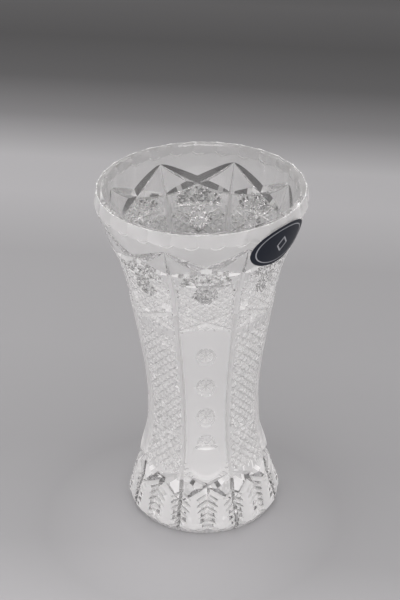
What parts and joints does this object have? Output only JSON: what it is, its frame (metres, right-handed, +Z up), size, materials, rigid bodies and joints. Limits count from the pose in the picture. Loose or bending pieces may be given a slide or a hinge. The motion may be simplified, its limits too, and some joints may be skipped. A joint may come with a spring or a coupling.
{
  "type": "cut crystal vase",
  "caption": "Flared clear crystal vase on a bulging foot, cut all over with mitre crosses, diamond hatching, rosettes and flutes, with an oval stick-on label under the rim.",
  "frame": {"origin": "centre of the ground ring the vase stands on, at the level of the table", "axes": "+Z up along the vase's axis, -Y towards the plain front panel, +X to the right seen from the front"},
  "size_m": [0.0887, 0.0887, 0.155],
  "materials": {
    "crystal": "polished, clear",
    "label": "semi-gloss dark navy with silver hairlines"
  },
  "bodies": {
    "root": {"vase_body": "crystal", "oval_label": "label"}
  },
  "joints": []
}
